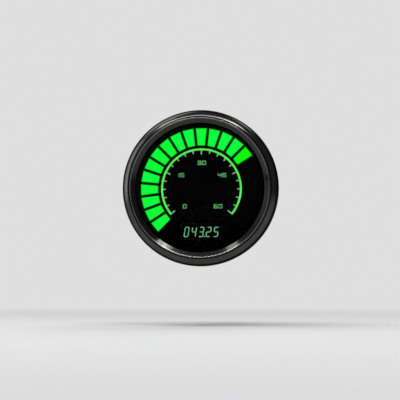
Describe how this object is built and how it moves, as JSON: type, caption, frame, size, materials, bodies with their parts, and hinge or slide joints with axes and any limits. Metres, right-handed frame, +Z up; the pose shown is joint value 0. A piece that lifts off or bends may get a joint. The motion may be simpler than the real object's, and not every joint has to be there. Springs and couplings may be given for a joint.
{
  "type": "boost gauge",
  "caption": "Round in-dash digital boost gauge with a fan of light bars, a numbered scale and a digit readout, held in its panel hole by a rear clamp bracket and thumb nuts.",
  "frame": {"origin": "centre of the bezel's rear seat, where it rests on the panel's face", "axes": "+Y rearward along the housing, away from the viewer; +Z up on the dial; +X to the viewer's right"},
  "size_m": [0.059, 0.0594, 0.059],
  "materials": {
    "bezel_metal": "black chrome, spun",
    "lens_smoked": "clear, lightly smoked",
    "gasket_rubber": "matte",
    "trim_black": "matte",
    "mask_black": "matte ink",
    "diffuser_white": "frosted",
    "bar_lit": "lit from behind",
    "bar_dark": "unlit",
    "arc_lit": "lit from behind",
    "tick_lit": "lit from behind",
    "numeral_lit": "lit from behind",
    "readout_black": "smooth resin",
    "segment_lit": "lit segment",
    "segment_dark": "unlit segment",
    "light_box_white": "matte",
    "board_green": "solder mask",
    "led_clear": "cast resin",
    "chip_black": "moulded",
    "header_black": "moulded",
    "contact_gold": "plated",
    "tinned_pin": "tinned",
    "spacer_brass": "turned",
    "screw_zinc": "zinc plated",
    "crystal_can": "pressed tin",
    "inductor_grey": "ferrite",
    "capacitor_can": "drawn can",
    "capacitor_tan": "fired",
    "socket_black": "moulded",
    "housing_black": "fine textured",
    "stud_steel": "zinc plated",
    "nut_steel": "zinc plated",
    "bracket_zinc": "zinc plated sheet",
    "washer_steel": "hardened",
    "thumb_nut_nickel": "nickel plated"
  },
  "bodies": {
    "gauge": {"bezel": "bezel_metal", "lens": "lens_smoked", "lens_gasket": "gasket_rubber", "trim_ring": "trim_black", "dial_mask": "mask_black", "dial_diffuser": "diffuser_white", "lit_bar_windows": "bar_lit", "dark_bar_windows": "bar_dark", "scale_arc": "arc_lit", "scale_ticks": "tick_lit", "scale_numerals": "numeral_lit", "readout_module": "readout_black", "readout_lit_segments": "segment_lit", "readout_dark_segments": "segment_dark", "readout_pins": "tinned_pin", "light_box": "light_box_white", "display_board": "board_green", "bar_leds": "led_clear", "scale_leds": "led_clear", "segment_driver_chips": "chip_black", "resistor_arrays": "chip_black", "link_header_socket": "header_black", "link_header_base": "header_black", "link_header_pins": "contact_gold", "board_spacers": "spacer_brass", "front_spacer_screws": "screw_zinc", "rear_spacer_screws": "screw_zinc", "main_board": "board_green", "microcontroller": "chip_black", "crystal": "crystal_can", "voltage_regulator": "chip_black", "inductor": "inductor_grey", "electrolytic_capacitors": "capacitor_can", "protection_diode": "chip_black", "chip_capacitors": "capacitor_tan", "chip_resistors": "chip_black", "board_mount_screws": "screw_zinc", "input_socket": "socket_black", "socket_contacts": "contact_gold", "housing": "housing_black", "mounting_studs": "stud_steel", "stud_fixing_nuts": "nut_steel"},
    "clamp": {"clamp_bracket": "bracket_zinc", "lock_washers": "washer_steel"},
    "left_nut": {"thumb_nut_left": "thumb_nut_nickel"},
    "right_nut": {"thumb_nut_right": "thumb_nut_nickel"}
  },
  "joints": [
    {"name": "clamp_slide", "type": "slide", "parent": "gauge", "child": "clamp", "axis": [0, 1, 0], "range_m": [-0.0055, 0.005]},
    {"name": "left_nut_spin", "type": "hinge", "parent": "clamp", "child": "left_nut", "pos_m": [-0.015, 0.044, 0], "axis": [0, 1, 0], "range_deg": [-2829, 2572]},
    {"name": "right_nut_spin", "type": "hinge", "parent": "clamp", "child": "right_nut", "pos_m": [0.015, 0.044, 0], "axis": [0, 1, 0], "range_deg": [-2829, 2572]}
  ],
  "couplings": [
    {"joint": "left_nut_spin", "follows": "clamp_slide", "rad_per_m": 8976},
    {"joint": "right_nut_spin", "follows": "clamp_slide", "rad_per_m": 8976}
  ]
}
